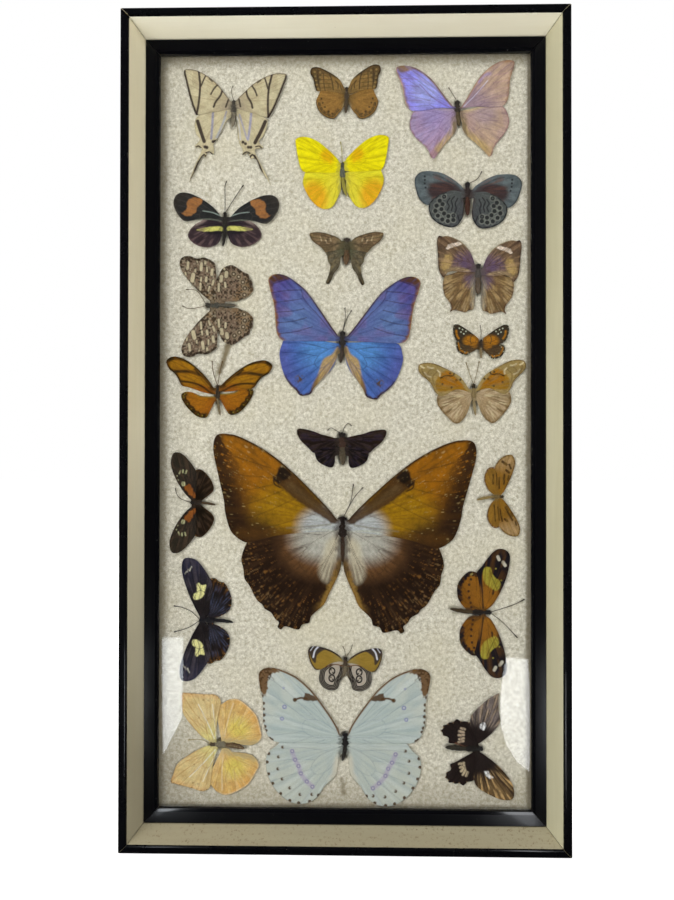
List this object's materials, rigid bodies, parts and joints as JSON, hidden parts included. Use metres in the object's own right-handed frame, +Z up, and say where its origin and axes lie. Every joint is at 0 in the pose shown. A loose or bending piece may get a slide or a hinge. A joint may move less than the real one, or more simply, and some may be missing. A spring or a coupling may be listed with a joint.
{
  "type": "framed butterfly specimen",
  "caption": "Upright shallow glazed box frame, cream bevel with black lips, holding spread butterflies on white cotton wadding; hangs on a sawtooth hanger",
  "frame": {"origin": "Where the sawtooth hanger takes the wall nail, in the plane of the rails' backs, midway across the frame", "axes": "+X to the viewer's right across the frame, +Z up, the glass faces -Y and the wall is at +Y"},
  "size_m": [0.28, 0.0368, 0.5255],
  "materials": {
    "cream_paint": "cream paint on wood, satin, with a rounded black-lacquered lip and sides",
    "black_lacquer": "black lacquer, semi-gloss",
    "clear_glass": "plain clear glass",
    "cotton": "loose off-white cotton wadding, aged",
    "hardboard": "plain brown hardboard",
    "zinc_steel": "zinc-plated thin steel",
    "zebra_swallowtail": "dry butterfly wing scales, cream wings with black stripes",
    "red_banded_longwing": "dry butterfly wing scales, black wings, orange band, yellow bar",
    "grey_cracker": "dry butterfly wing scales, mottled grey-brown and white",
    "orange_longwing": "dry butterfly wing scales, ochre orange with black edges",
    "orange_based_longwing": "dry butterfly wing scales, black-brown, orange at the base, white spots",
    "blue_rayed_longwing": "dry butterfly wing scales, black with yellow spots and blue rays",
    "peach_sulphur": "dry butterfly wing scales, peach yellow",
    "small_fritillary": "dry butterfly wing scales, brown-orange with dark lines",
    "yellow_sulphur": "dry butterfly wing scales, lemon yellow",
    "violet_morpho": "dry butterfly wing scales, iridescent violet to lilac",
    "spotted_slate": "dry butterfly wing scales, slate grey-blue with black spots",
    "tailed_skipper": "dry butterfly wing scales, olive brown",
    "blue_morpho": "dry butterfly wing scales, iridescent blue",
    "purple_leafwing": "dry butterfly wing scales, purple and brown with tan streaks",
    "checkered_crescent": "dry butterfly wing scales, orange and black checks",
    "silver_spotted_fritillary": "dry butterfly wing scales, pale grey with an ochre disc",
    "dark_skipper": "dry butterfly wing scales, near-black brown",
    "sunset_morpho": "dry butterfly wing scales, orange and white fading to dark brown",
    "tan_longwing": "dry butterfly wing scales, tan and ochre",
    "tiger_longwing": "dry butterfly wing scales, orange, black and yellow",
    "eighty_eight": "dry butterfly wing scales, ochre, with black rings on white",
    "pearl_morpho": "dry butterfly wing scales, pearly pale blue",
    "cattleheart": "dry butterfly wing scales, black-brown with white spots"
  },
  "bodies": {
    "root": {"rail_top": "cream_paint", "rail_bottom": "cream_paint", "rail_left": "cream_paint", "rail_right": "cream_paint", "slip_top": "black_lacquer", "slip_bottom": "black_lacquer", "slip_left": "black_lacquer", "slip_right": "black_lacquer", "glass_pane": "clear_glass", "cotton_wadding": "cotton", "backing_board": "hardboard", "glazing_point_bottom_1": "zinc_steel", "glazing_point_left_1": "zinc_steel", "glazing_point_left_2": "zinc_steel", "glazing_point_left_3": "zinc_steel", "glazing_point_top_1": "zinc_steel", "glazing_point_right_1": "zinc_steel", "glazing_point_right_2": "zinc_steel", "glazing_point_right_3": "zinc_steel", "sawtooth_hanger": "zinc_steel", "hanger_nail_left": "zinc_steel", "hanger_nail_right": "zinc_steel", "zebra_swallowtail": "zebra_swallowtail", "red_banded_longwing": "red_banded_longwing", "grey_cracker": "grey_cracker", "orange_longwing": "orange_longwing", "orange_based_longwing": "orange_based_longwing", "blue_rayed_longwing": "blue_rayed_longwing", "peach_sulphur": "peach_sulphur", "small_fritillary": "small_fritillary", "yellow_sulphur": "yellow_sulphur", "violet_morpho": "violet_morpho", "spotted_slate": "spotted_slate", "tailed_skipper": "tailed_skipper", "blue_morpho": "blue_morpho", "purple_leafwing": "purple_leafwing", "checkered_crescent": "checkered_crescent", "silver_spotted_fritillary": "silver_spotted_fritillary", "dark_skipper": "dark_skipper", "sunset_morpho": "sunset_morpho", "tan_longwing": "tan_longwing", "tiger_longwing": "tiger_longwing", "eighty_eight": "eighty_eight", "pearl_morpho": "pearl_morpho", "cattleheart": "cattleheart"}
  },
  "joints": []
}
